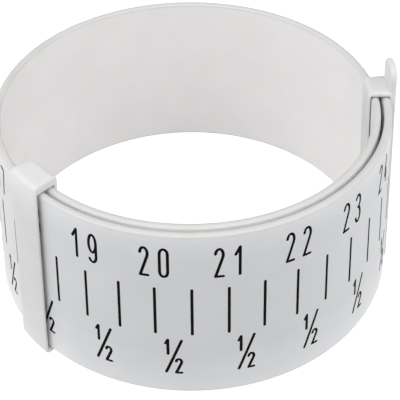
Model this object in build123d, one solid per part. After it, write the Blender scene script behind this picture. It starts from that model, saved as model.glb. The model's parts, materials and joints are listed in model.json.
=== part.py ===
from build123d import *

import os
from math import atan2, cos, degrees, hypot, pi, sin

# A wrist gauge: a printed plastic strap is curled into a loop, and its tail slides through a
# collar moulded on the fixed end. A longer or shorter loop is read off at the collar, in
# centimetres. Distances along the strap are called stations: they run in millimetres from the
# collar's reading edge, anticlockwise seen from above, so station 10 * n carries the number n.

# The gauge
CENTIMETRE = 10.0
READING = 182.5  # the loop's length at rest, and so what the gauge shows
SCALE_FIRST = 15
SCALE_LAST = 25
FRONT_STATION = 205.0  # this station of the tail faces -Y

# The strap
STRAP_WIDTH = 29.2
STRAP_THICKNESS = 1.0
STRAP_START = -3.0  # the fixed end, inside the collar
STRAP_END = 257.6
LAYER_PITCH = 1.55  # from the middle of the loop's strap to the middle of the tail over it

# The hinges that stand for the strap's bending, one for each centimetre
FIRST_HINGE = 6.6  # a hinge falls between one half-centimetre mark and the next number
HINGE_GAP = 0.06  # radial play between a span's round nose and the hollow of the next
BEND_TAPER = 2.3  # how much faster than the strap the spiral's pitch tightens

# The collar on the fixed end
COLLAR_LENGTH = 5.6
COLLAR_WALL = 0.7
COLLAR_FACE = 0.6
COLLAR_CORNER = 2.0  # the round that leads the tail in past the collar's inner wall
TAIL_PLAY = 0.95  # radial room over the tail inside the collar
EDGE_PLAY = 0.2  # room above and below the strap in either sleeve
SLEEVE_ROUND = 0.5  # the small round on either sleeve's other upright corners
CUT_PAST = 1.0  # how far a slot's cutter runs past the faces that it opens

# The keeper on the tail and its finger plate
KEEPER_START = 252.3
KEEPER_LENGTH = 4.9
KEEPER_WALL = 0.8
KEEPER_REACH = 2.4  # from the middle of the tail in to the keeper's inner wall
PLATE_THICKNESS = 1.1
PLATE_OVERHANG = 5.0
PLATE_CORNER = 2.0

# The printed scale
INK = 0.04
STROKE = 0.3
MARK_LOW = 0.41
MARK_HIGH = 0.71
NUMBER_LOW = 0.735
NUMBER_HIGH = 0.90
HALF_LOW = 0.14
HALF_HIGH = 0.37
DIGIT_WIDTH = 1.45
DIGIT_PITCH = 2.65
SMALL_DIGIT = 0.6  # the width of a half's numerals, as a share of the others'
HALF_PITCH = 1.5
HALF_LEAN = 12.0  # degrees that the slash of each half leans
HALF_OFFSET = 2.5

# Segments of a plain seven-bar numeral: top, upper left, upper right, middle, lower left,
# lower right, bottom
NUMERALS = {
    "0": "1110111",
    "1": "0010010",
    "2": "1011101",
    "3": "1011011",
    "4": "0111010",
    "5": "1101011",
    "6": "1101111",
    "7": "1010010",
    "8": "1111111",
    "9": "1111011",
}

LOOP_BEND = 2 * pi / READING  # the mean curvature of the loop
BEND_FALL = LAYER_PITCH * LOOP_BEND**3 / (2 * pi)  # curvature lost for each mm of strap


def span_stations():
    """Where each span of the strap starts and ends."""
    hinges = [FIRST_HINGE + CENTIMETRE * n for n in range(SCALE_LAST)]
    stations = [STRAP_START, *hinges, STRAP_END]
    return list(zip(stations, stations[1:]))


def bend_at(station):
    """The strap's curvature at rest, which falls evenly along the spiral."""
    return LOOP_BEND - BEND_FALL * (station - READING / 2)


def bend_share(station):
    """How far a hinge turns for one degree at the middle of the loop."""
    return 1 - BEND_TAPER * BEND_FALL / LOOP_BEND * (station - READING / 2)


def chain():
    """The spans in order, each as (start, end, radius, place of its start)."""
    placed = []
    place = Location((0, 0, 0))
    for start, end in span_stations():
        radius = 1 / bend_at((start + end) / 2)
        placed.append((start, end, radius, place))
        place = place * along(radius, end - start)
    return placed


def along(radius, length):
    """The move from a span's start to a point further along it."""
    turn = length / radius
    return Location((radius * sin(turn), radius * (1 - cos(turn)), 0), (0, 0, degrees(turn)))


def bar(radius, offsets, heights, lengths):
    """A solid that follows a span: between two offsets outward, two heights, two lengths."""
    inner, outer = offsets
    low, high = heights
    first, last = lengths
    middle = ((inner + outer) / 2, (low + high) / 2)
    section = Plane.YZ * Pos(-middle[0], middle[1]) * Rectangle(outer - inner, high - low)
    solid = revolve(section, Axis((0, radius, 0), (0, 0, 1)), degrees((last - first) / radius))
    return along(radius, first) * solid


def strap_span(radius, length, is_first, is_last):
    """A length of strap with rounded edges, a hollow at its start and a nose at its end."""
    half = STRAP_THICKNESS / 2
    section = Plane.YZ * Pos(0, STRAP_WIDTH / 2) * SlotOverall(STRAP_WIDTH, STRAP_THICKNESS, rotation=90)
    solid = revolve(section, Axis((0, radius, 0), (0, 0, 1)), degrees(length / radius))
    if not is_last:
        nose = Pos(0, 0, STRAP_WIDTH / 2) * Cylinder(half, STRAP_WIDTH - STRAP_THICKNESS)
        for height in (half, STRAP_WIDTH - half):
            nose += Pos(0, 0, height) * Sphere(half)
        solid += along(radius, length) * nose
    if not is_first:
        solid -= Pos(0, 0, STRAP_WIDTH / 2) * Cylinder(half + HINGE_GAP, 2 * STRAP_WIDTH)
    return solid


def upright_edges(block, radius):
    """A sleeve block's upright edges: inner start, inner end, outer start, outer end.

    The inner start comes first, whether or not the other three are rounded already.
    """

    def depth(edge):
        return hypot(edge.center().X, edge.center().Y - radius)

    def turn(edge):
        return atan2(edge.center().X, radius - edge.center().Y)

    edges = block.edges().filter_by(Axis.Z).sort_by(depth)
    return sorted(edges[:2], key=turn) + sorted(edges[2:], key=turn)


def collar(radius):
    """The sleeve that the tail slides through, closed round both layers of the strap."""
    inner = -STRAP_THICKNESS / 2
    outer = LAYER_PITCH + TAIL_PLAY
    low = -EDGE_PLAY
    high = STRAP_WIDTH + EDGE_PLAY
    reach = (-COLLAR_LENGTH, 0)
    ends = (reach[0] - STRAP_START, reach[1] - STRAP_START)
    past = (ends[0] - CUT_PAST, ends[1] + CUT_PAST)
    block = bar(
        radius,
        (inner - COLLAR_WALL, outer + COLLAR_FACE),
        (low - COLLAR_WALL, high + COLLAR_WALL),
        ends,
    )
    block = fillet(upright_edges(block, radius)[1:], SLEEVE_ROUND)
    block = fillet(upright_edges(block, radius)[0], COLLAR_CORNER)
    return block - bar(radius, (inner, outer), (low, high), past)


def keeper(radius, span_start):
    """The sleeve moulded on the tail's end, which holds it to the loop and slides along it."""
    outer = STRAP_THICKNESS / 2
    low = -EDGE_PLAY
    high = STRAP_WIDTH + EDGE_PLAY
    start = KEEPER_START - span_start
    ends = (start, start + KEEPER_LENGTH)
    past = (ends[0] - CUT_PAST, ends[1] + CUT_PAST)
    block = bar(
        radius,
        (-KEEPER_REACH - KEEPER_WALL, outer + PLATE_THICKNESS / 2),
        (low - KEEPER_WALL, high + KEEPER_WALL),
        ends,
    )
    block = fillet(upright_edges(block, radius), SLEEVE_ROUND)
    return block - bar(radius, (-KEEPER_REACH, outer), (low, high), past) + plate(radius, ends)


def plate(radius, ends):
    """The tall finger plate on the keeper's face, with rounded corners."""
    outer = STRAP_THICKNESS / 2
    heights = (-PLATE_OVERHANG, STRAP_WIDTH + PLATE_OVERHANG)
    slab = bar(radius, (outer, outer + PLATE_THICKNESS), heights, ends)
    facing = along(radius, sum(ends) / 2)
    width = (ends[1] - ends[0]) * (1 + (outer + PLATE_THICKNESS) / radius)
    outline = Plane.XZ * RectangleRounded(width, heights[1] - heights[0], PLATE_CORNER)
    cutter = extrude(Pos(0, 0, sum(heights) / 2) * outline, radius / 2, both=True)
    return slab & facing * cutter


def ink_bar(radius, lengths, heights):
    """A printed patch on the outer face of a span."""
    face = STRAP_THICKNESS / 2
    return bar(radius, (face, face + INK), heights, lengths)


def numeral(digit, radius, left, heights, width):
    """One numeral in plain bars."""
    low, high = heights
    middle = (low + high) / 2
    right = left + width
    bars = [
        ((left, right), (high - STROKE, high)),
        ((left, left + STROKE), (middle, high)),
        ((right - STROKE, right), (middle, high)),
        ((left, right), (middle - STROKE / 2, middle + STROKE / 2)),
        ((left, left + STROKE), (low, middle)),
        ((right - STROKE, right), (low, middle)),
        ((left, right), (low, low + STROKE)),
    ]
    shown = [box for box, lit in zip(bars, NUMERALS[digit]) if lit == "1"]
    solid = ink_bar(radius, *shown[0])
    for box in shown[1:]:
        solid += ink_bar(radius, *box)
    return solid


def slash(radius, centre, heights):
    """The leaning stroke between the small numerals of a half."""
    low, high = heights
    patch = ink_bar(radius, (centre - HALF_PITCH, centre + HALF_PITCH), heights)
    stroke = Box(STROKE, radius, 2 * (high - low))
    leaning = Pos(0, 0, (low + high) / 2) * Rot(0, HALF_LEAN, 0) * stroke
    return patch & along(radius, centre) * leaning


def scale_print(number, radius, span_start):
    """The ink of one centimetre: its number, its mark, the half below and the half's mark.

    The keeper covers the strap past the last number, so there the print has no half.
    """
    whole = CENTIMETRE * number - span_start
    half = whole + CENTIMETRE / 2
    marks = (MARK_LOW * STRAP_WIDTH, MARK_HIGH * STRAP_WIDTH)
    numbers = (NUMBER_LOW * STRAP_WIDTH, NUMBER_HIGH * STRAP_WIDTH)
    halves = (HALF_LOW * STRAP_WIDTH, HALF_HIGH * STRAP_WIDTH)
    middle = sum(halves) / 2
    quarter = whole + HALF_OFFSET
    small = DIGIT_WIDTH * SMALL_DIGIT
    has_half = number < SCALE_LAST
    marked = (whole, half) if has_half else (whole,)
    pieces = [ink_bar(radius, (at - STROKE / 2, at + STROKE / 2), marks) for at in marked]
    for place, digit in enumerate(str(number)):
        left = whole + (place - 0.5) * DIGIT_PITCH - DIGIT_WIDTH / 2
        pieces.append(numeral(digit, radius, left, numbers, DIGIT_WIDTH))
    if has_half:
        pieces.append(numeral("1", radius, quarter - HALF_PITCH, (middle, halves[1]), small))
        pieces.append(slash(radius, quarter, halves))
        pieces.append(numeral("2", radius, quarter + HALF_PITCH - small, (halves[0], middle), small))
    return Compound(children=[solid for piece in pieces for solid in piece.solids()])


def assembly():
    """Every node by name, in the strap's own frame, with the hinge points between spans."""
    nodes = {}
    hinges = []
    spans = chain()
    for index, (start, end, radius, place) in enumerate(spans):
        is_first = index == 0
        is_last = index == len(spans) - 1
        nodes[f"strap_span_{index:02d}"] = place * strap_span(radius, end - start, is_first, is_last)
        if is_first:
            nodes["collar"] = place * collar(radius)
        else:
            hinges.append((start, place.position))
        if is_last:
            nodes["tail_keeper"] = place * keeper(radius, start)
        if index >= SCALE_FIRST:
            nodes[f"scale_print_{index}"] = place * scale_print(index, radius, start)
    return nodes, hinges


def standing_place(nodes):
    """The move that turns the gauge's front to -Y and sets it down centred on the origin."""
    start, _, radius, place = chain()[int((FRONT_STATION - FIRST_HINGE) // CENTIMETRE) + 1]
    heading = (place * along(radius, FRONT_STATION - start)).orientation.Z
    turned = Rot(0, 0, -heading)
    box = Compound(children=[turned * node for node in nodes.values()]).bounding_box()
    centre = box.center()
    return Pos(-centre.X, -centre.Y, -box.min.Z) * turned


NODES, HINGES = assembly()
PLACE = standing_place(NODES)
NODES = {name: PLACE * node for name, node in NODES.items()}
HINGE_POINTS = [(station, (PLACE * Pos(point)).position) for station, point in HINGES]

os.makedirs("parts", exist_ok=True)
for name, node in NODES.items():
    export_step(node, f"parts/{name}.step")
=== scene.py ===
import json
from bisect import bisect_right
from collections import namedtuple
from math import atan2, ceil, cos, hypot, pi, radians, sin, sqrt

import bmesh
import bpy
from mathutils import Matrix, Vector


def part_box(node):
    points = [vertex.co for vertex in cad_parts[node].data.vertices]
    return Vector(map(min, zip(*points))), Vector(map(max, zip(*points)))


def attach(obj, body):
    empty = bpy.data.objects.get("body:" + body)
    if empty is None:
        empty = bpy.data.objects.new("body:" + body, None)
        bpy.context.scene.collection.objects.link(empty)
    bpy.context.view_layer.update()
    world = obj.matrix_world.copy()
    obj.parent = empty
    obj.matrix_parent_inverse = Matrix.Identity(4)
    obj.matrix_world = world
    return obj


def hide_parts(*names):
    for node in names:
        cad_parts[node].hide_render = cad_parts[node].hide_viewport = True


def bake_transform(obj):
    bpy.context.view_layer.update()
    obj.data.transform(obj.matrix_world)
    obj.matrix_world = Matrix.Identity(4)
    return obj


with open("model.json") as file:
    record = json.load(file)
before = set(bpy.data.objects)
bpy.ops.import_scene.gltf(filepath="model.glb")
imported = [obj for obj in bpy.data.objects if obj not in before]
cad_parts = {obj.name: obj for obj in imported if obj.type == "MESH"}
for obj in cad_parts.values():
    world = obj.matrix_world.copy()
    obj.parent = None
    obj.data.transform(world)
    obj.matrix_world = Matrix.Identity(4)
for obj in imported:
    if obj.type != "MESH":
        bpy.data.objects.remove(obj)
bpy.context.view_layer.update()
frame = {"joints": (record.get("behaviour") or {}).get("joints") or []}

# A wrist gauge: a printed strap curled into a loop, whose tail slides through a collar.
# Distances along the strap are stations, in millimetres from the collar's reading edge, with
# station 10 * n at the number n. Points are (station, outward, height): outward from the middle
# of the strap and height above its lower edge, in millimetres.

MM = 0.001

# The strap's line, as the CAD has it. One turn is as long as the number that is read.
CENTIMETRE = 10.0
READING = 182.5
SCALE_FIRST = 15
SCALE_LAST = 25
STRAP_WIDTH = 29.2
STRAP_START = -3.0
STRAP_END = 257.6
LAYER_PITCH = 1.55
FIRST_HINGE = 6.6
LOOP_BEND = 2 * pi / READING
BEND_FALL = LAYER_PITCH * LOOP_BEND**3 / (2 * pi)

# The strap's section: thin, with rounded edges, leaning outward by LEAN for each mm downward
STRAP_HALF = 0.58
EDGE_LENGTH = 0.45
LEAN = 0.07
EDGE_STEPS = 8
FACE_STEPS = 6
RING_SPACING = 0.5

# The sleeves round the strap: the collar on the fixed end and the keeper on the tail. Each has
# its stations, how far out its faces and its slot's faces are, and its inner start corner.
Sleeve = namedtuple("Sleeve", "span outer slot heights corner")
COLLAR = Sleeve((-5.6, 0.0), (-1.0, 2.9), (-0.5, 2.54), (-0.95, STRAP_WIDTH + 1.75), 2.0)
KEEPER = Sleeve((252.3, 257.2), (-2.7, 1.0), (-2.35, 0.5), (-0.95, STRAP_WIDTH + 0.95), 0.0)
SLOT_HEIGHTS = (-0.2, STRAP_WIDTH + 0.2)
SLEEVE_ROUND = 0.75
SLOT_ROUND = 0.2
SIDE_SHARES = (0.25, 0.5, 0.75)
SLEEVE_SPACING = 0.8

# The rims at a sleeve's ends: how far each round reaches along the strap and, as a share, into
# the wall, the degrees between its points, and the shares of the wall that its flat crosses
RIM_ROUND = 0.3
RIM_SHARE = 0.3
RIM_TURN = 18
RIM_FLAT = (0.6, 0.5, 0.4)

# The finger plate: its faces' distances outward, its reach past the strap and its rounds. Its
# points stand closer towards its outline, as the sines of angles this many degrees apart do.
PLATE_OUT = (0.5, 1.45)
PLATE_OVERHANG = 5.0
PLATE_CORNER = 2.0
PLATE_EDGE = 0.5
COLUMN_TURN = 7.5
ROW_TURN = 3
WELD = 2e-6  # metres

# The printed scale, with its rows of print as shares of the strap's width
STROKE = 0.42
MARK = (0.396, 0.69)
NUMBER = (0.753, 0.928)
HALF = (0.132, 0.368)
DIGIT_WIDTH = 1.5
DIGIT_PITCH = 2.65

# The label of a half: each figure's digit, place, half width and share of the label's height,
# and the ends of the slash between them
HALF_OFFSET = 2.5
HALF_FIGURES = (("1", -0.92, 0.5, (0.54, 1.0)), ("2", 0.62, 0.6, (0.0, 0.46)))
HALF_SLASH = ((-1.12, 0.04), (1.02, 0.96))

# The ink: a low ridge on the strap's outer face, drawn as strokes with round ends
INK_RISE = 0.03
INK_SINK = 0.03
INK_STEP = 0.25
INK_SHARES = (-1, -0.6, 0, 0.6, 1)
CAP_TURNS = (25, 50, 70, 85)
CAP_SWELL = 0.2
RISE_STRETCH = 500.0
ARC_TURN = 15

# The plastics' colours, darkest and lightest, and how many times lighter the printed face and
# the sleeves get towards the strap's long edges, by height as a share of the strap's width, as
# painted light. The strap's sides are copies of one plastic: painted shade darkens the middle of
# the printed face and the sleeves, and the edges and caps are painted darker, as painted shade.
PLASTICS = {
    "outer_face_painted_shade_and_light": ((0.93, 0.94, 0.96), (0.97, 0.98, 1.0), 1.18),
    "edge_face_painted_shade": ((0.72, 0.715, 0.705), (0.75, 0.745, 0.735), None),
    "inner_face": ((0.915, 0.90, 0.895), (0.945, 0.93, 0.925), None),
    "sleeve_plastic": ((0.885, 0.885, 0.885), (0.92, 0.92, 0.915), 1.14),
}
# Painted shade: the share that darkens the middle of the printed face and the sleeves
PAINTED_FACE_SHADE = 0.8
# Painted light: by height, how much of the gain lifts the painted shade towards the edges
PAINTED_EDGE_LIGHT = ((0.0, 1.0), (0.12, 0.5), (0.3, 0.0), (0.84, 0.0), (0.95, 0.5), (1.0, 1.0))
PLASTIC_IOR = 1.49
PLASTIC_ROUGHNESS = (0.36, 0.5)
INK_GREYS = (0.001, 0.004)
INK_ROUGHNESS = (0.45, 0.7)
INK_GLOSS = 0.04

# Each noise as (scale, detail), where its two colours stop, and each bump as (strength, metres)
MOTTLE = (180, 4)
MOTTLE_STOPS = (0.3, 0.7)
GRAIN = (1500, 3)
GRAIN_BUMP = (0.4, 0.00004)
INK_NOISE = (900, 3)
INK_STOPS = (0.3, 0.75)
INK_BUMP = (0.2, 0.00001)

# The camera: its angles in degrees, its place in millimetres and its clipping in metres
CAMERA_RISE = 41.53
CAMERA_ROLL = 0.38
CAMERA_DISTANCE = 162.73
CAMERA_TARGET = (0.482, 0.0, 14.615)
CAMERA_CLIP = (0.01, 20.0)
LENS = 90.36
SENSOR = 36.0

# The studio, in metres and watts, with the room's greys from its left to its right
ROOM_LIGHT = 1.3
ROOM_GREYS = (
    (0.0, 1.0), (0.1, 0.6), (0.2, 0.35), (0.35, 0.2), (0.65, 0.19), (0.8, 0.31), (0.9, 0.5), (1.0, 0.85)
)
SOFTBOX_AT = (0.0, -0.26, 0.47)
SOFTBOX_SIZE = (1.8, 0.4)
SOFTBOX_ENERGY = 4.2
FLOOR_REACH = 9.0
FLOOR_GREYS = (0.24, 0.26)
FLOOR_NOISE = (3, 2)
FLOOR_ROUGHNESS = 0.9
FLOOR_GLOW = 0.95

# The CAD's hinges in their order along the strap, the bodies they join and the strap's base
HINGES = [Vector(joint["pos_m"]) / MM for joint in sorted(frame["joints"], key=lambda j: j["name"])]
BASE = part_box("strap_span_20")[0].z / MM


def bend_at(station):
    """The strap's curvature at rest."""
    return LOOP_BEND - BEND_FALL * (station - READING / 2)


def strap_line():
    """The spans of the strap's middle line: (start, bend, start point, heading).

    The first span is measured back from its far end, where the first hinge is.
    """
    spans = []
    heading = 0.0
    for index, (here, there) in enumerate(zip(HINGES, HINGES[1:])):
        start = FIRST_HINGE + CENTIMETRE * index
        bend = bend_at(start + CENTIMETRE / 2)
        chord = there - here
        heading = atan2(chord.y, chord.x) - bend * CENTIMETRE / 2
        spans.append((start, bend, here, heading))
    first_bend = bend_at((STRAP_START + FIRST_HINGE) / 2)
    first = (FIRST_HINGE, first_bend, HINGES[0], spans[0][3])
    last_start = FIRST_HINGE + CENTIMETRE * len(spans)
    last_bend = bend_at((last_start + STRAP_END) / 2)
    last = (last_start, last_bend, HINGES[-1], heading + spans[-1][1] * CENTIMETRE)
    return [first, *spans, last]


LINE = strap_line()
LINE_STARTS = [span[0] for span in LINE[1:]]


def heading_at(station):
    """The span that a station is on, and the strap's heading there."""
    span = LINE[bisect_right(LINE_STARTS, station)]
    return span, span[3] + span[1] * (station - span[0])


def place(station, outward=0.0, height=0.0):
    """A point of the strap in the shared frame, in metres."""
    (_, bend, point, heading), turned = heading_at(station)
    outward += LEAN * (STRAP_WIDTH / 2 - height)
    x = point.x + (sin(turned) - sin(heading)) / bend + outward * sin(turned)
    y = point.y - (cos(turned) - cos(heading)) / bend - outward * cos(turned)
    return Vector((x, y, BASE + height)) * MM


def steps(first, last, spacing):
    """Evenly spaced numbers from first to last, no further apart than spacing."""
    count = max(1, ceil(abs(last - first) / spacing - 1e-6))
    return [first + (last - first) * index / count for index in range(count + 1)]


def between(here, there, share):
    """The point that is a share of the way from one flat point to another."""
    return (here[0] + (there[0] - here[0]) * share, here[1] + (there[1] - here[1]) * share)


def linked(name, mesh, *materials):
    """A new smooth object in the scene for a mesh, with its materials."""
    for material in materials:
        mesh.materials.append(material)
    for polygon in mesh.polygons:
        polygon.use_smooth = True
    piece = bpy.data.objects.new(name, mesh)
    bpy.context.scene.collection.objects.link(piece)
    return piece


def closed_mesh(name, verts, faces, weld=0.0):
    """A closed mesh with its faces turned outward. Points within weld metres are joined."""
    mesh = bpy.data.meshes.new(name)
    mesh.from_pydata(verts, [], faces)
    shell = bmesh.new()
    shell.from_mesh(mesh)
    if weld:
        bmesh.ops.remove_doubles(shell, verts=shell.verts, dist=weld)
        bmesh.ops.dissolve_degenerate(shell, edges=shell.edges, dist=weld / 2)
    bmesh.ops.recalc_face_normals(shell, faces=shell.faces)
    shell.to_mesh(mesh)
    shell.free()
    return mesh


def loft(name, rings, closed=False):
    """A mesh through rings of points, capped at its ends unless it closes on itself."""
    verts = [point for ring in rings for point in ring]
    size = len(rings[0])
    pairs = list(zip(range(len(rings)), range(1, len(rings))))
    faces = []
    if closed:
        pairs.append((len(rings) - 1, 0))
    else:
        faces += [list(range(size)), [len(verts) - 1 - index for index in range(size)]]
    for here, there in pairs:
        for index in range(size):
            after = (index + 1) % size
            edge = [here * size + index, here * size + after]
            faces.append([*edge, there * size + after, there * size + index])
    return closed_mesh(name, verts, faces)


# ---------------------------------------------------------------- the strap


def strap_section():
    """The strap's section as (outward, height, normal outward, normal up), right round it."""
    straight = STRAP_WIDTH - 2 * EDGE_LENGTH
    section = []
    for side, centre in ((1, STRAP_WIDTH - EDGE_LENGTH), (-1, EDGE_LENGTH)):
        for index in range(FACE_STEPS):
            height = centre - side * straight * (1 - index / FACE_STEPS)
            section.append((side * STRAP_HALF, height, side, 0.0))
        for index in range(EDGE_STEPS):
            turn = pi * index / EDGE_STEPS
            across, up = side * cos(turn), side * sin(turn)
            slope = hypot(across / STRAP_HALF, up / EDGE_LENGTH)
            normal = (across / STRAP_HALF / slope, up / EDGE_LENGTH / slope)
            section.append((STRAP_HALF * across, centre + EDGE_LENGTH * up, *normal))
    return section


def is_cap(polygon):
    """Whether a face of the strap closes an end, and isn't one of the sides' quads."""
    return len(polygon.vertices) > 4


def shade_strap(mesh, normals):
    """Gives the sides their true normals, so that no seam shows, and keeps the caps flat."""
    loops = []
    for polygon in mesh.polygons:
        flat = is_cap(polygon)
        loops += [polygon.normal if flat else normals[vertex] for vertex in polygon.vertices]
    mesh.normals_split_custom_set(loops)


def colour_strap(mesh):
    """Gives each face its material's number: 0 printed face and 1 edges and caps, both with painted
    shade, and 2 inner.
    """
    sides = [0] * FACE_STEPS + [1] * EDGE_STEPS + [2] * FACE_STEPS + [1] * EDGE_STEPS
    caps = 2
    for polygon in mesh.polygons:
        side = sides[(polygon.index - caps) % len(sides)]
        polygon.material_index = 1 if is_cap(polygon) else side


def strap_piece(index, materials):
    """The strap from the middle of one span to the middle of the next, across the hinge."""
    hinge = FIRST_HINGE + CENTIMETRE * (index - 1)
    first = STRAP_START if index == 1 else hinge - CENTIMETRE / 2
    last = STRAP_END if index == len(HINGES) else hinge + CENTIMETRE / 2
    section = strap_section()
    rings = []
    normals = []
    for station in steps(first, last, RING_SPACING):
        _, heading = heading_at(station)
        rings.append([place(station, outward, height) for outward, height, _, _ in section])
        normals += [Vector((out * sin(heading), -out * cos(heading), up)) for *_, out, up in section]
    mesh = loft(f"strap_{index:02d}", rings)
    piece = linked(mesh.name, mesh, *materials)
    colour_strap(mesh)
    shade_strap(mesh, normals)
    stood_for = [f"strap_span_{index - 1:02d}"]
    if index == len(HINGES):
        stood_for.append(f"strap_span_{index:02d}")
    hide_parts(*stood_for)
    bend_with_strap(piece, index)


def bend_with_strap(piece, index):
    """Bakes a piece's place into its mesh. The span middles either side of its hinge are found but not
    used.
    """
    hinge = FIRST_HINGE + CENTIMETRE * (index - 1)
    start = place(hinge - CENTIMETRE / 2)
    end = place(hinge + CENTIMETRE / 2)
    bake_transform(piece)


# ---------------------------------------------------------------- the sleeves


def rounded_box(across, heights, radius):
    """A rounded rectangle's outline as (outward, height) points, the same count for any size."""
    corners = (
        (across[1] - radius, heights[1] - radius, 0),
        (across[0] + radius, heights[1] - radius, 90),
        (across[0] + radius, heights[0] + radius, 180),
        (across[1] - radius, heights[0] + radius, 270),
    )
    turned = [arc(x, z, radius, radius, turn, turn + 90) for x, z, turn in corners]
    outline = []
    for corner, after in zip(turned, turned[1:] + turned[:1]):
        outline += corner
        outline += [between(corner[-1], after[0], share) for share in SIDE_SHARES]
    return outline


def rim_path(span):
    """The wall's section as (station, share from the slot to the outside), right round it.

    Its first half runs over the outside and round the last end; the second half mirrors it.
    """
    first, last = span
    quarter = [radians(angle) for angle in steps(0, 90, RIM_TURN)]
    flat = steps(first + RIM_ROUND, last - RIM_ROUND, SLEEVE_SPACING)[1:]
    half = [(station, 1.0) for station in flat]
    half += [(last - RIM_ROUND * (1 - sin(a)), 1 - RIM_SHARE * (1 - cos(a))) for a in quarter[1:]]
    half += [(last, share) for share in RIM_FLAT]
    half += [(last - RIM_ROUND * (1 - cos(a)), RIM_SHARE * (1 - sin(a))) for a in quarter]
    return half + [(first + last - station, 1 - share) for station, share in half]


def led_station(station, outward, sizes):
    """A station moved up to keep clear of the sleeve's rounded inner start corner."""
    inset = sizes.outer[0] + sizes.corner - outward
    if inset <= 0:
        return station
    first, last = sizes.span
    back = sizes.corner - sqrt(max(0.0, sizes.corner**2 - inset**2))
    return station + back * (last - station) / (last - first)


def sleeve(name, sizes, material):
    """A moulded sleeve round the strap."""
    outside = rounded_box(sizes.outer, sizes.heights, SLEEVE_ROUND)
    inside = rounded_box(sizes.slot, SLOT_HEIGHTS, SLOT_ROUND)
    rings = []
    for station, share in rim_path(sizes.span):
        points = [between(inner, outer, share) for inner, outer in zip(inside, outside)]
        rings.append([place(led_station(station, out, sizes), out, up) for out, up in points])
    return linked(name, loft(name, rings, closed=True), material)


def edge_depth(across, up, half_width, half_height):
    """How far inside a plate's rounded outline a point is."""
    x = abs(across) - (half_width - PLATE_CORNER)
    z = abs(up) - (half_height - PLATE_CORNER)
    outside = hypot(max(x, 0.0), max(z, 0.0)) + min(max(x, z), 0.0)
    return max(0.0, PLATE_CORNER - outside)


def plate_skin(side):
    """The finger plate's front or back face as a grid of points, thinning at the outline."""
    first, last = KEEPER.span
    half_width = (last - first) / 2
    half_height = STRAP_WIDTH / 2 + PLATE_OVERHANG
    thick = (PLATE_OUT[1] - PLATE_OUT[0]) / 2
    columns = [sin(radians(angle)) for angle in steps(-90, 90, COLUMN_TURN)]
    skin = []
    for row in (half_height * sin(radians(angle)) for angle in steps(-90, 90, ROW_TURN)):
        into_corner = max(0.0, abs(row) - (half_height - PLATE_CORNER))
        reach = half_width - PLATE_CORNER + sqrt(max(0.0, PLATE_CORNER**2 - into_corner**2))
        line = []
        for across in (reach * column for column in columns):
            depth = min(1.0, edge_depth(across, row, half_width, half_height) / PLATE_EDGE)
            bulge = side * thick * sqrt(max(0.0, 1 - (1 - depth) ** 2))
            station = (first + last) / 2 + across
            line.append(place(station, sum(PLATE_OUT) / 2 + bulge, STRAP_WIDTH / 2 + row))
        skin.append(line)
    return skin


def finger_plate(material):
    """A tall bent plate with rounded corners and a rounded edge, from its two skins."""
    skins = plate_skin(1), plate_skin(-1)
    rows, columns = len(skins[0]), len(skins[0][0])
    verts = [point for skin in skins for line in skin for point in line]
    faces = []
    for skin in (0, rows * columns):
        for row in range(rows - 1):
            for column in range(columns - 1):
                corner = skin + row * columns + column
                faces.append([corner, corner + 1, corner + columns + 1, corner + columns])
    mesh = closed_mesh("finger_plate", verts, faces, weld=WELD)
    return linked("finger_plate", mesh, material)


def collar(material):
    """The sleeve on the strap's fixed end, where the gauge is read."""
    piece = sleeve("collar_sleeve", COLLAR, material)
    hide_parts("collar")
    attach(piece, "fixed_end")


def keeper(material):
    """The sleeve on the tail's end, with the tall plate that the fingers pull."""
    for piece in (sleeve("keeper_sleeve", KEEPER, material), finger_plate(material)):
        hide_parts("tail_keeper")
        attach(piece, "tail_end")


# ---------------------------------------------------------------- the printed scale


def arc(x, z, reach_x, reach_z, start, end):
    """Points on an ellipse from one angle to another, in degrees anticlockwise."""
    turns = [radians(angle) for angle in steps(start, end, ARC_TURN)]
    return [(x + reach_x * cos(turn), z + reach_z * sin(turn)) for turn in turns]


# Each numeral's pen strokes: x from -1 to 1 across it, z from 0 to 1 up it
NINE = [arc(0, 0.68, 1, 0.32, 0, 360), [(1, 0.68), *arc(0, 0.22, 1, 0.22, 0, -150)]]
NUMERALS = {
    "0": [[*arc(0, 0.82, 1, 0.18, 0, 180), *arc(0, 0.18, 1, 0.18, 180, 360), (1, 0.82)]],
    "1": [[(-0.85, 0.74), (0.25, 1)], [(0.25, 1), (0.25, 0)]],
    "2": [[*arc(0, 0.79, 0.95, 0.21, 170, -30), (-0.95, 0)], [(-0.95, 0), (1, 0)]],
    "3": [arc(0, 0.775, 0.9, 0.225, 155, -90), arc(0, 0.275, 1, 0.275, 90, -155)],
    "4": [[(0.35, 1), (-1, 0.27)], [(-1, 0.27), (1, 0.27)], [(0.45, 0.5), (0.45, 0)]],
    "5": [[(0.85, 1), (-0.8, 1)], [(-0.8, 1), (-0.9, 0.55)], arc(0, 0.31, 1, 0.31, 140, -155)],
    "6": [[(-x, 1 - z) for x, z in stroke] for stroke in NINE],
    "7": [[(-1, 1), (1, 1)], [(1, 1), (-0.25, 0)]],
    "8": [arc(0, 0.775, 0.85, 0.225, -90, 270), arc(0, 0.275, 1, 0.275, 90, 450)],
    "9": NINE,
}


def glyph(digit, centre, half_width, heights):
    """A numeral's pen strokes as lists of (station, height) points."""
    low = heights[0] + STROKE / 2
    tall = heights[1] - heights[0] - STROKE
    reach = half_width - STROKE / 2
    return [[(centre + x * reach, low + z * tall) for x, z in stroke] for stroke in NUMERALS[digit]]


def half_label(centre):
    """The pen strokes of a half's label."""
    low, high = (share * STRAP_WIDTH for share in HALF)
    strokes = []
    for digit, offset, half_width, shares in HALF_FIGURES:
        heights = [low + share * (high - low) for share in shares]
        strokes += glyph(digit, centre + offset, half_width, heights)
    strokes.append([(centre + offset, low + share * (high - low)) for offset, share in HALF_SLASH])
    return strokes


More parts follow.
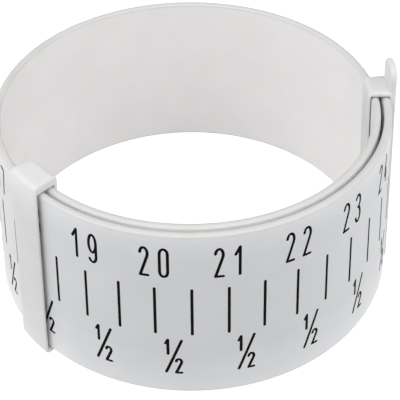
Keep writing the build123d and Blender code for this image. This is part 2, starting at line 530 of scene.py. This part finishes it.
def scale_strokes(number):
    """Every pen stroke of one centimetre of the scale. The last has no half."""
    whole = CENTIMETRE * number
    low, high = (share * STRAP_WIDTH for share in MARK)
    heights = [share * STRAP_WIDTH for share in NUMBER]
    marked = (whole, whole + CENTIMETRE / 2) if number < SCALE_LAST else (whole,)
    strokes = [[(station, low + STROKE / 2), (station, high - STROKE / 2)] for station in marked]
    for index, digit in enumerate(str(number)):
        strokes += glyph(digit, whole + (index - 0.5) * DIGIT_PITCH, DIGIT_WIDTH / 2, heights)
    if number < SCALE_LAST:
        strokes += half_label(whole + HALF_OFFSET)
    return strokes


def resampled(points):
    """The points of a stroke with its long runs divided, so that it follows the strap."""
    path = [points[0]]
    for here, there in zip(points, points[1:]):
        count = max(1, ceil(hypot(there[0] - here[0], there[1] - here[1]) / INK_STEP))
        path += [between(here, there, index / count) for index in range(1, count + 1)]
    return path


def pen_cap(row, sign):
    """The narrowing rows of a stroke's round end, beyond its first (-1) or last (1) row."""
    x, z, turn, half = row
    cap = []
    for angle in (radians(degrees) for degrees in CAP_TURNS):
        beyond = sign * half * sin(angle)
        cap.append((x + beyond * cos(turn), z + beyond * sin(turn), turn, half * cos(angle)))
    return cap


def pen_rows(points):
    """A stroke's rows as (station, height, direction, half width), with round ends."""
    path = resampled(points)
    rows = []
    for index, (x, z) in enumerate(path):
        before = path[max(0, index - 1)]
        after = path[min(len(path) - 1, index + 1)]
        rows.append((x, z, atan2(after[1] - before[1], after[0] - before[0]), STROKE / 2))
    return pen_cap(rows[0], -1)[::-1] + rows + pen_cap(rows[-1], 1)


def add_stroke(shell, points):
    """Adds one pen stroke to a bmesh that is laid out flat, with x its station and z its height.

    Its rise is y, stretched so that its faces can be told outward from inward.
    """
    rings = []
    for x, z, turn, half in pen_rows(points):
        swell = min(1.0, half / (STROKE / 2) + CAP_SWELL)
        section = [(share, INK_RISE * (1 - share**4) * swell) for share in INK_SHARES]
        section += [(1, -INK_SINK), (-1, -INK_SINK)]
        ring = []
        for share, rise in section:
            spot = (x - sin(turn) * share * half, rise * RISE_STRETCH, z + cos(turn) * share * half)
            ring.append(shell.verts.new(spot))
        rings.append(ring)
    for here, there in zip(rings, rings[1:]):
        for index in range(len(here)):
            after = (index + 1) % len(here)
            shell.faces.new((here[index], here[after], there[after], there[index]))
    shell.faces.new(rings[0])
    shell.faces.new(rings[-1][::-1])


def flat_ink(number):
    """A centimetre of the scale, laid out flat."""
    shell = bmesh.new()
    for stroke in scale_strokes(number):
        add_stroke(shell, stroke)
    return shell


def cut_away(shell, station, side):
    """Cuts flat ink across at a station, and removes what is before (-1) or after (1) it."""
    everything = shell.verts[:] + shell.edges[:] + shell.faces[:]
    plane = {"plane_co": (station, 0, 0), "plane_no": (side, 0, 0)}
    bmesh.ops.bisect_plane(shell, geom=everything, clear_outer=True, **plane)
    bmesh.ops.holes_fill(shell, edges=[edge for edge in shell.edges if edge.is_boundary])


def ink_piece(name, shell, number, hinge, material):
    """Wraps flat ink round the strap. The wrapping mirrors it, so its faces are reversed."""
    bmesh.ops.recalc_face_normals(shell, faces=shell.faces)
    for vertex in shell.verts:
        station, rise, height = vertex.co
        vertex.co = place(station, STRAP_HALF + rise / RISE_STRETCH, height)
    bmesh.ops.reverse_faces(shell, faces=shell.faces)
    mesh = bpy.data.meshes.new(name)
    shell.to_mesh(mesh)
    shell.free()
    piece = linked(name, mesh, material)
    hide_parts(f"scale_print_{number}")
    bend_with_strap(piece, hinge)


def printed_scale(material):
    """The numbers, marks and halves, each centimetre in two pieces that meet mid-span.

    The last is one piece, because its span has no hinge after it.
    """
    for number in range(SCALE_FIRST, SCALE_LAST):
        mid_span = FIRST_HINGE + CENTIMETRE * (number - 0.5)
        for letter, hinge, side in (("a", number, 1), ("b", number + 1, -1)):
            shell = flat_ink(number)
            cut_away(shell, mid_span, side)
            ink_piece(f"print_{number}{letter}", shell, number, hinge, material)
    ink_piece(f"print_{SCALE_LAST}", flat_ink(SCALE_LAST), SCALE_LAST, SCALE_LAST, material)


# ---------------------------------------------------------------- materials


def grey(level):
    """A neutral colour."""
    return (level, level, level)


def new_material(name, roughness):
    """A node material with its shader, ready for colour and bump."""
    material = bpy.data.materials.new(name)
    material.use_nodes = True
    shader = material.node_tree.nodes["Principled BSDF"]
    shader.inputs["Roughness"].default_value = roughness
    return material, material.node_tree.nodes, material.node_tree.links, shader


def noise(nodes, links, scale, detail):
    """Noise fixed to the object's own coordinates, so it moves with the piece."""
    where = nodes.new("ShaderNodeTexCoord")
    texture = nodes.new("ShaderNodeTexNoise")
    texture.inputs["Scale"].default_value = scale
    texture.inputs["Detail"].default_value = detail
    links.new(where.outputs["Object"], texture.inputs["Vector"])
    return texture.outputs["Fac"]


def along(nodes, links, space, axis, low, high):
    """How far a coordinate is from low to high, as a value from 0 to 1."""
    where = nodes.new("ShaderNodeTexCoord")
    split = nodes.new("ShaderNodeSeparateXYZ")
    links.new(where.outputs[space], split.inputs["Vector"])
    share = nodes.new("ShaderNodeMapRange")
    share.inputs["From Min"].default_value = low
    share.inputs["From Max"].default_value = high
    links.new(split.outputs[axis], share.inputs["Value"])
    return share.outputs["Result"]


def spread(nodes, links, value, low, high):
    """A value from 0 to 1 spread over another range."""
    node = nodes.new("ShaderNodeMapRange")
    node.inputs["To Min"].default_value = low
    node.inputs["To Max"].default_value = high
    links.new(value, node.inputs["Value"])
    return node.outputs["Result"]


def ramp(nodes, links, value, stops):
    """A colour ramp from (position, colour) stops."""
    stops = list(stops)
    node = nodes.new("ShaderNodeValToRGB")
    while len(node.color_ramp.elements) < len(stops):
        node.color_ramp.elements.new(1.0)
    for element, (position, colour) in zip(node.color_ramp.elements, stops):
        element.position = position
        element.color = (*colour, 1)
    links.new(value, node.inputs["Fac"])
    return node.outputs["Color"]


def bump(nodes, links, value, strength, distance, shader):
    """A bump on the shader's surface, with its height in metres."""
    node = nodes.new("ShaderNodeBump")
    node.inputs["Strength"].default_value = strength
    node.inputs["Distance"].default_value = distance
    links.new(value, node.inputs["Height"])
    links.new(node.outputs["Normal"], shader.inputs["Normal"])


def lighter_edges(nodes, links, colour, painted_light_gain):
    """The colour with painted shade mid-face and painted light towards the strap's edges, where light
    comes through.
    """
    height = along(nodes, links, "Object", "Z", BASE * MM, (BASE + STRAP_WIDTH) * MM)
    stops = [(at, grey(PAINTED_FACE_SHADE * (1 + (painted_light_gain - 1) * share))) for at, share in PAINTED_EDGE_LIGHT]
    mixer = nodes.new("ShaderNodeMix")
    mixer.data_type = "RGBA"
    mixer.blend_type = "MULTIPLY"
    mixer.inputs["Factor"].default_value = 1.0
    links.new(colour, mixer.inputs["A"])
    links.new(ramp(nodes, links, height, stops), mixer.inputs["B"])
    return mixer.outputs["Result"]


def white_plastic(name, dark, light, painted_light_gain):
    """Moulded white plastic: faint mottling, a fine grain and an uneven gloss; with a gain, painted
    light and shade.
    """
    material, nodes, links, shader = new_material(name, sum(PLASTIC_ROUGHNESS) / 2)
    mottle = noise(nodes, links, *MOTTLE)
    grain = noise(nodes, links, *GRAIN)
    colour = ramp(nodes, links, mottle, zip(MOTTLE_STOPS, (dark, light)))
    # Painted shade in the middle of the face and painted light towards the strap's edges
    if painted_light_gain is not None:
        colour = lighter_edges(nodes, links, colour, painted_light_gain)
    links.new(colour, shader.inputs["Base Color"])
    links.new(spread(nodes, links, mottle, *PLASTIC_ROUGHNESS), shader.inputs["Roughness"])
    shader.inputs["IOR"].default_value = PLASTIC_IOR
    bump(nodes, links, grain, *GRAIN_BUMP, shader)
    return material


def ink_black():
    """Thin black printing ink, slightly uneven."""
    material, nodes, links, shader = new_material("printing_ink", sum(INK_ROUGHNESS) / 2)
    shader.inputs["Specular IOR Level"].default_value = INK_GLOSS
    patch = noise(nodes, links, *INK_NOISE)
    colour = ramp(nodes, links, patch, zip(INK_STOPS, map(grey, INK_GREYS)))
    links.new(colour, shader.inputs["Base Color"])
    links.new(spread(nodes, links, patch, *INK_ROUGHNESS), shader.inputs["Roughness"])
    bump(nodes, links, patch, *INK_BUMP, shader)
    return material


# ---------------------------------------------------------------- the studio


def camera():
    """The scene's camera, in front of the gauge and above it, rolled very slightly."""
    rise = radians(CAMERA_RISE)
    roll = radians(CAMERA_ROLL)
    view = Vector((0, cos(rise), -sin(rise)))
    level = Vector((1, 0, 0))
    above = level.cross(view)
    right = level * cos(roll) - above * sin(roll)
    up = level * sin(roll) + above * cos(roll)
    data = bpy.data.cameras.new("camera")
    data.lens = LENS
    data.sensor_width = SENSOR
    data.clip_start, data.clip_end = CAMERA_CLIP
    shooter = bpy.data.objects.new("camera", data)
    bpy.context.scene.collection.objects.link(shooter)
    where = (Vector(CAMERA_TARGET) - view * CAMERA_DISTANCE) * MM
    turned = Matrix((right, up, -view)).transposed().to_4x4()
    shooter.matrix_world = Matrix.Translation(where) @ turned
    bpy.context.scene.camera = shooter


def softbox():
    """A wide soft light above and in front of the gauge, facing it, and not seen itself."""
    data = bpy.data.lights.new("overhead", "AREA")
    data.shape = "RECTANGLE"
    data.size, data.size_y = SOFTBOX_SIZE
    data.energy = SOFTBOX_ENERGY
    light = bpy.data.objects.new("overhead", data)
    bpy.context.scene.collection.objects.link(light)
    light.location = SOFTBOX_AT
    light.rotation_euler = (-Vector(SOFTBOX_AT)).to_track_quat("-Z", "Y").to_euler()
    light.visible_camera = False


def floor():
    """A plain pale floor that glows, so that it is white, but lights no other surface."""
    mesh = bpy.data.meshes.new("floor")
    corners = [(x * FLOOR_REACH, y * FLOOR_REACH, 0) for x, y in ((-1, -1), (1, -1), (1, 1), (-1, 1))]
    mesh.from_pydata(corners, [], [(0, 1, 2, 3)])
    material, nodes, links, shader = new_material("floor", FLOOR_ROUGHNESS)
    cloud = noise(nodes, links, *FLOOR_NOISE)
    colour = ramp(nodes, links, cloud, zip(MOTTLE_STOPS, map(grey, FLOOR_GREYS)))
    links.new(colour, shader.inputs["Base Color"])
    shader.inputs["Specular IOR Level"].default_value = 0.0
    shader.inputs["Emission Color"].default_value = (*grey(1), 1)
    shader.inputs["Emission Strength"].default_value = FLOOR_GLOW
    ground = linked("floor", mesh, material)
    ground.visible_diffuse = False


def room():
    """The world's light: bright from the left and right, and grey in between."""
    world = bpy.data.worlds.new("studio")
    world.use_nodes = True
    nodes, links = world.node_tree.nodes, world.node_tree.links
    background = nodes["Background"]
    background.inputs["Strength"].default_value = ROOM_LIGHT
    across = along(nodes, links, "Generated", "X", -1.0, 1.0)
    stops = [(position, grey(level)) for position, level in ROOM_GREYS]
    links.new(ramp(nodes, links, across, stops), background.inputs["Color"])
    bpy.context.scene.world = world
    bpy.context.scene.view_settings.view_transform = "Standard"


# ---------------------------------------------------------------- the gauge

plastics = {name: white_plastic(name, *look) for name, look in PLASTICS.items()}
# Each side of the strap gets its own copy of the plastic: painted shade on the printed face and on the
# edges and caps
strap_looks = [plastics[name] for name in ("outer_face_painted_shade_and_light", "edge_face_painted_shade", "inner_face")]
for hinge_number in range(1, len(HINGES) + 1):
    strap_piece(hinge_number, strap_looks)
collar(plastics["sleeve_plastic"])
keeper(plastics["sleeve_plastic"])
printed_scale(ink_black())
room()
softbox()
floor()
camera()
